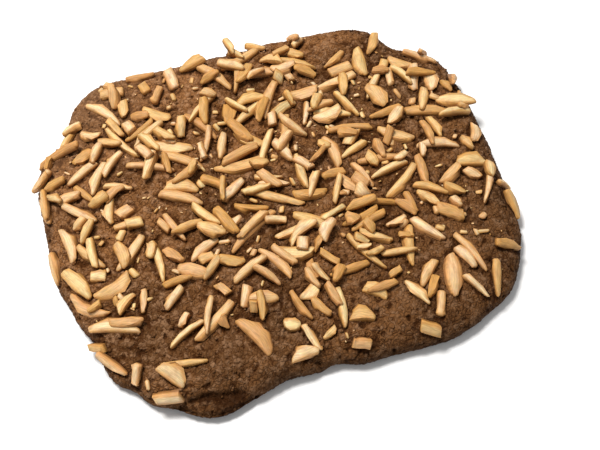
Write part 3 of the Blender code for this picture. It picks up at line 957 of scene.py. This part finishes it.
class Finish:
    """A material as it is built up: its shader and the nodes that lead to it."""

    def __init__(self, name):
        self.material = bpy.data.materials.new(name)
        self.material.use_nodes = True
        self.tree = self.material.node_tree
        self.shader = self.tree.nodes["Principled BSDF"]

    def feed(self, node, inputs):
        """Gives a node's inputs plain values, or links them to other nodes' outputs."""
        for key, value in inputs.items():
            socket = node.inputs[key]
            if isinstance(value, bpy.types.NodeSocket):
                self.tree.links.new(value, socket)
            else:
                socket.default_value = (*value, 1.0) if socket.type == "RGBA" else value

    def add(self, kind, inputs=None, **settings):
        """Adds a node."""
        node = self.tree.nodes.new(kind)
        for key, value in settings.items():
            setattr(node, key, value)
        self.feed(node, inputs or {})
        return node

    def mix(self, factor, dark, light, mode="MIX"):
        """Mixes two colours."""
        inputs = {0: factor, 6: dark, 7: light}
        return self.add("ShaderNodeMix", inputs, data_type="RGBA", blend_type=mode).outputs[2]

    def coat(self, colour, coats):
        """Lays coats over a colour: for each, how much of it there is, and its own colour."""
        for share, own in coats:
            colour = self.mix(share, colour, own)
        return colour

    def multiply(self, colour, *tones):
        """Darkens or tints a colour by one tone after another."""
        for tone in tones:
            colour = self.mix(1.0, colour, tone, "MULTIPLY")
        return colour

    def ramp(self, value, low, high, to_low=0.0, to_high=1.0):
        """Takes a range of a value to another range, and no further."""
        inputs = {"Value": value, "From Min": low, "From Max": high}
        inputs.update({"To Min": to_low, "To Max": to_high})
        ramp = self.add("ShaderNodeMapRange", inputs, interpolation_type="SMOOTHSTEP")
        return ramp.outputs["Result"]

    def calculate(self, one, other, operation="ADD"):
        """Adds two values, or does something else with them."""
        return self.add("ShaderNodeMath", {0: one, 1: other}, operation=operation).outputs[0]

    def noise(self, vector, scale, detail=2.0, roughness=0.5, output="Fac"):
        """A noise pattern, its scale in cells to one unit."""
        inputs = {"Vector": vector, "Scale": scale, "Detail": detail, "Roughness": roughness}
        return self.add("ShaderNodeTexNoise", inputs).outputs[output]

    def bumps(self, height, strength, distance):
        """Shades the surface as if it had a relief."""
        inputs = {"Height": height, "Strength": strength, "Distance": distance}
        return self.add("ShaderNodeBump", inputs).outputs["Normal"]


def dough_material(dough):
    """Baked dough: grainy all over, with painted shade in its creases and low down, and a painted
    highlight on its raised nubs.
    """
    finish = Finish("baked_dough")
    add, ramp = finish.add, finish.ramp
    pale, dark = dough.pale_colour, dough.dark_colour
    place = add("ShaderNodeTexCoord").outputs["Object"]
    relief = add("ShaderNodeAttribute", attribute_name="relief").outputs["Fac"]
    patches = finish.noise(place, PATCH_SCALE, 3)
    grain = finish.noise(place, GRAIN_SCALE, 7, 0.74)

    stir = finish.noise(place, STIR_SCALE, output="Color")
    inputs = {0: stir, 1: (STIRRED_BY, STIRRED_BY, STIRRED_BY), 2: place}
    stirred = add("ShaderNodeVectorMath", inputs, operation="MULTIPLY_ADD").outputs["Vector"]
    cells = {"Vector": stirred, "Scale": CRUMB_SCALE}
    crumbs = add("ShaderNodeTexVoronoi", cells, feature="F1").outputs["Color"]
    seams = add("ShaderNodeTexVoronoi", cells, feature="DISTANCE_TO_EDGE")
    off_seam = seams.outputs["Distance"]
    own_tone = add("ShaderNodeSeparateColor", {"Color": crumbs}).outputs["Red"]

    crust = Vector(dough.crust_colour)
    colour = finish.mix(ramp(patches, 0.36, 0.64), crust * 0.62, crust * 1.25)
    dry = ramp(own_tone, 0.62, 0.95, 0.0, 0.50)
    grain_pale = ramp(grain, 0.51, 0.66, 0.0, 0.60)
    grain_dark = ramp(grain, 0.47, 0.33, 0.0, 0.6)
    # Painted shade in the seams between the grains of crumb, broken up by the grain.
    in_seam = ramp(off_seam, 0.13, 0.02)
    seam_shade = finish.calculate(in_seam, ramp(grain, 0.60, 0.40, 0.15, 0.85), "MULTIPLY")
    # Painted shade where the relief is low: in the creases, pores and cracks, round each almond, on
    # the ledge and under the crumbs.
    hollow_shade = ramp(relief, 0.44, 0.14, 0.0, 0.82)
    # A painted highlight on the raised tops of the nubs.
    raised_highlight = ramp(relief, 0.55, 0.84, 0.0, 0.36)
    coats = [(dry, pale), (grain_pale, pale), (grain_dark, dark), (seam_shade, dark)]
    colour = finish.coat(colour, coats + [(hollow_shade, dark), (raised_highlight, pale)])

    level = add("ShaderNodeSeparateXYZ", {"Vector": place}).outputs["Z"]
    # Painted shade: darker low down on the walls, towards the table.
    foot_shade = ramp(level, 1 * MM, 12 * MM, 0.46, 1.0)
    # Darker towards the front right, away from the window light: partly browner baking, partly
    # painted shade.
    inputs = {0: place, 1: BROWNED_AND_SHADED_SIDE}
    side = add("ShaderNodeVectorMath", inputs, operation="DOT_PRODUCT").outputs["Value"]
    baking_and_shade = ramp(side, -0.11, 0.12, 1.18, 0.64)
    colour = finish.multiply(colour, foot_shade, baking_and_shade)
    # Paler towards the back left, where the window light falls: partly paler baking, partly a
    # painted sheen.
    back_pale_and_sheen = ramp(side, -0.04, -0.13, 0.0, 0.35)
    nubs = ramp(off_seam, 0.0, 0.30, 0.0, 0.32)
    finish.feed(
        finish.shader,
        {
            "Base Color": finish.coat(colour, [(back_pale_and_sheen, pale)]),
            "Roughness": ramp(grain, 0.3, 0.7, 0.9, 0.6),
            "Specular IOR Level": 0.06,
            "Normal": finish.bumps(finish.calculate(grain, nubs), 1.0, 1.4 * MM),
        },
    )
    return finish.material


def almond_material(almonds):
    """Toasted almond, from cream to brown and browner at its tips and edges, with painted shade
    down its sides, on its side away from the window light and where it meets the dough.
    """
    finish = Finish("toasted_almond")
    add, ramp = finish.add, finish.ramp
    browned, side_brown = almonds.toasted_colour, almonds.side_colour
    nut = add("ShaderNodeAttribute", attribute_name="nut").outputs
    parts = add("ShaderNodeSeparateColor", {"Color": nut["Color"]})
    toast, along, across = (parts.outputs[name] for name in ("Red", "Green", "Blue"))
    level = nut["Alpha"]
    tint = add("ShaderNodeAttribute", attribute_name="tint").outputs["Fac"]
    aside = finish.calculate(finish.calculate(across, 0.5, "SUBTRACT"), 0.0, "ABSOLUTE")
    flat = add("ShaderNodeUVMap", uv_map="grain").outputs["UV"]
    stretch = add("ShaderNodeMapping", {"Vector": flat, "Scale": FIBRE_STRETCH})
    fibre = finish.noise(stretch.outputs["Vector"], FIBRE_SCALE, 3, 0.6)
    place = add("ShaderNodeTexCoord").outputs["Object"]
    blotch = finish.noise(place, GRAIN_SCALE)

    golden = ramp(toast, 0.0, 0.55)
    colour = finish.mix(golden, almonds.cream_colour, almonds.golden_colour)
    brown = ramp(toast, 0.55, 1.0, 0.0, 0.8)
    first_tip = ramp(along, 0.16, 0.0, 0.0, 0.5)
    last_tip = ramp(along, 0.86, 1.0, 0.0, 0.45)
    # Painted shade: each sliver is browner on its side towards +X, away from the window light.
    away_side_shade = ramp(across, 0.40, 0.02, 0.0, 0.50)
    edge = ramp(aside, 0.16, 0.46, 0.0, 0.7)
    patchy = ramp(blotch, 0.50, 0.75, 0.0, 0.4)
    # Painted shade down the sides of each bit of almond.
    flank_shade = ramp(level, 0.97, 0.55, 0.0, 0.85)
    # Painted shade where the almond meets the dough.
    seam_shade = ramp(level, 0.66, 0.34, 0.0, 0.65)
    inside = ramp(aside, 0.42, 0.0)
    heart = finish.calculate(inside, ramp(toast, 0.35, 0.8, 0.0, 0.4), "MULTIPLY")
    coats = [(share, browned) for share in (brown, first_tip, last_tip, away_side_shade)]
    coats += [(edge, side_brown), (patchy, browned), (flank_shade, side_brown)]
    coats += [(seam_shade, almonds.seam_colour), (heart, browned)]
    colour = finish.coat(colour, coats)

    own_share = ramp(tint, 0.0, 1.0, -0.40, 0.45)
    edge_share = ramp(aside, 0.05, 0.50, 0.30, 0.45)
    mottle_share = ramp(blotch, 0.30, 0.70, -0.25, 0.25)
    paleness = finish.calculate(finish.calculate(own_share, edge_share), mottle_share)
    hue = finish.mix(paleness, almonds.yellow_tint, almonds.pale_tint)
    streak = ramp(fibre, 0.32, 0.70, 0.74, 1.10)
    finish.feed(
        finish.shader,
        {
            "Base Color": finish.multiply(colour, hue, streak),
            "Roughness": 0.55,
            "Specular IOR Level": 0.28,
            "Subsurface Weight": 0.12,
            "Subsurface Radius": (1.0, 0.55, 0.28),
            "Subsurface Scale": 1.2 * MM,
            "Normal": finish.bumps(fibre, 0.45, 0.4 * MM),
        },
    )
    return finish.material


class SPECULAAS_OT_bake_dough(bpy.types.Operator):
    """Bake the slab of dough with its crags, cracks and pores"""

    bl_idname = "speculaas.bake_dough"
    bl_label = "Bake Dough"

    def execute(self, context):
        dough = context.scene.speculaas_dough
        noise.seed_set(SEED)  # without it noise_vector differs from run to run
        bm = bmesh.new()
        make_slab(bm)
        roughen(bm, dough)
        for face in bm.faces:
            face.smooth = len(face.verts) < 5
        slab = put_in_scene("dough", take_mesh(bm, "dough"))
        bake_on(slab, dough_material(dough))
        return {"FINISHED"}


class SPECULAAS_OT_crumble_dough(bpy.types.Operator):
    """Bake loose crumbs of dough onto the crust"""

    bl_idname = "speculaas.crumble_dough"
    bl_label = "Crumble Dough"

    def execute(self, context):
        dough = context.scene.speculaas_dough
        draw = random.Random(CRUMB_SEED)
        heap = []
        while len(heap) < dough.crumb_count:
            x, y = chance_place(draw)
            if room_inside(x, y) < CRUMB_CLEAR_OF_RIM:
                continue
            size = CRUMB_LEAST + draw.gammavariate(*CRUMB_SPREAD)
            size = min(size, CRUMB_MOST) * MM
            height = crust_height(x, y) + draw.uniform(*CRUMB_SINK) * size
            place = Vector((x, y, height))
            heap.append(carve_crumb(place, size, draw))
        crumbs = join_meshes("dough_crumbs", heap)
        bake_on(crumbs, bpy.data.materials["baked_dough"])
        return {"FINISHED"}


class SPECULAAS_OT_strew_almonds(bpy.types.Operator):
    """Strew the slab with slivered almonds, chips and dust"""

    bl_idname = "speculaas.strew_almonds"
    bl_label = "Strew Almonds"

    def execute(self, context):
        almonds = context.scene.speculaas_almonds
        noise.seed_set(SEED)
        material = almond_material(almonds)
        lying = scatter_slivers()
        draw = random.Random(STREW_SEED)
        heaps = {name: [] for name in CUTS}
        for number, sliver in enumerate(lying):
            name = next(name for name, cut in CUTS.items() if cut is sliver.cut)
            toast = min(max(draw.gauss(*SLIVER_TOAST), 0), 1)
            heaps[name].append(carve_sliver(sliver, number, toast))
        for name, heap in heaps.items():
            bake_on(join_meshes(f"almond_{name}s", heap), material)

        for name, count, (least, most) in (
            ("almond_chips", almonds.chip_count, CHIP_SIZES),
            ("almond_dust", almonds.dust_count, DUST_SIZES),
        ):
            heap = []
            while len(heap) < count:
                x, y = chance_place(draw)
                if room_inside(x, y) < BIT_CLEAR_OF_RIM or draw.random() > almond_share(x, y):
                    continue
                size = draw.triangular(least, most, least * USUAL_BIT) * MM
                floor = crust_height(x, y)
                if height_under(x, y, lying) > floor:
                    continue
                place = Vector((x, y, floor + BIT_LIFT * size))
                toast = min(max(draw.gauss(*BIT_TOAST), 0), 1)
                heap.append(carve_chip(place, size, toast, draw))
            bake_on(join_meshes(name, heap), material)
        return {"FINISHED"}


class SPECULAAS_OT_set_stage(bpy.types.Operator):
    """Lay the table, light it softly from the back left and place the camera"""

    bl_idname = "speculaas.set_stage"
    bl_label = "Set Stage"

    def execute(self, context):
        stage = context.scene.speculaas_stage
        scene = context.scene
        bm = bmesh.new()
        bmesh.ops.create_grid(bm, x_segments=2, y_segments=2, size=TABLE_HALF)
        bmesh.ops.translate(bm, verts=bm.verts, vec=(0, 0, -TABLE_GAP))
        table = put_in_scene("table_top", take_mesh(bm, "table_top"))
        finish = Finish("pale_table")
        looks = {"Roughness": 0.9, "Specular IOR Level": 0.1}
        finish.feed(finish.shader, {"Base Color": stage.table_colour, **looks})
        table.data.materials.append(finish.material)

        world = bpy.data.worlds.new("room")
        world.use_nodes = True
        sky = world.node_tree.nodes["Background"]
        sky.inputs["Color"].default_value = (1.0, 1.0, 1.0, 1.0)
        sky.inputs["Strength"].default_value = stage.room_light
        scene.world = world
        scene.view_settings.view_transform = "Standard"

        window = bpy.data.lights.new("window", "AREA")
        window.energy = stage.window_power
        window.size = stage.window_size
        window.color = WINDOW_COLOUR
        lamp = put_in_scene("window", window)
        lamp.location = WINDOW_PLACE
        lamp.rotation_euler = (-lamp.location).to_track_quat("-Z", "Y").to_euler()

        turn, height = math.radians(VIEW_TURN), math.radians(VIEW_HEIGHT)
        flat = math.cos(height)
        back = Vector((math.sin(turn) * flat, -math.cos(turn) * flat, math.sin(height)))
        lens = bpy.data.cameras.new("camera")
        lens.lens = LENS
        lens.clip_start = NEAREST
        camera = put_in_scene("camera", lens)
        camera.location = Vector(VIEW_AIM) + back * stage.camera_distance
        camera.rotation_euler = back.to_track_quat("Z", "Y").to_euler()
        scene.camera = camera
        return {"FINISHED"}


class SPECULAAS_PT_panel(bpy.types.Panel):
    """The biscuit's sizes, colours and steps"""

    bl_label = "Speculaas"
    bl_space_type = "VIEW_3D"
    bl_region_type = "UI"
    bl_category = "Speculaas"

    def draw(self, context):
        groups = (
            (context.scene.speculaas_dough, ("bake_dough", "crumble_dough")),
            (context.scene.speculaas_almonds, ("strew_almonds",)),
            (context.scene.speculaas_stage, ("set_stage",)),
        )
        for group, steps in groups:
            box = self.layout.box()
            for name in type(group).__annotations__:
                box.prop(group, name)
            for step in steps:
                box.operator(f"speculaas.{step}")


CLASSES = (
    SpeculaasDough,
    SpeculaasAlmonds,
    SpeculaasStage,
    SPECULAAS_OT_bake_dough,
    SPECULAAS_OT_crumble_dough,
    SPECULAAS_OT_strew_almonds,
    SPECULAAS_OT_set_stage,
    SPECULAAS_PT_panel,
)


def register():
    for cls in CLASSES:
        bpy.utils.register_class(cls)
    bpy.types.Scene.speculaas_dough = PointerProperty(type=SpeculaasDough)
    bpy.types.Scene.speculaas_almonds = PointerProperty(type=SpeculaasAlmonds)
    bpy.types.Scene.speculaas_stage = PointerProperty(type=SpeculaasStage)


def unregister():
    del bpy.types.Scene.speculaas_stage
    del bpy.types.Scene.speculaas_almonds
    del bpy.types.Scene.speculaas_dough
    for cls in reversed(CLASSES):
        bpy.utils.unregister_class(cls)


def main():
    register()
    bpy.ops.speculaas.bake_dough()
    bpy.ops.speculaas.crumble_dough()
    bpy.ops.speculaas.strew_almonds()
    bpy.ops.speculaas.set_stage()


if __name__ == "__main__":
    main()
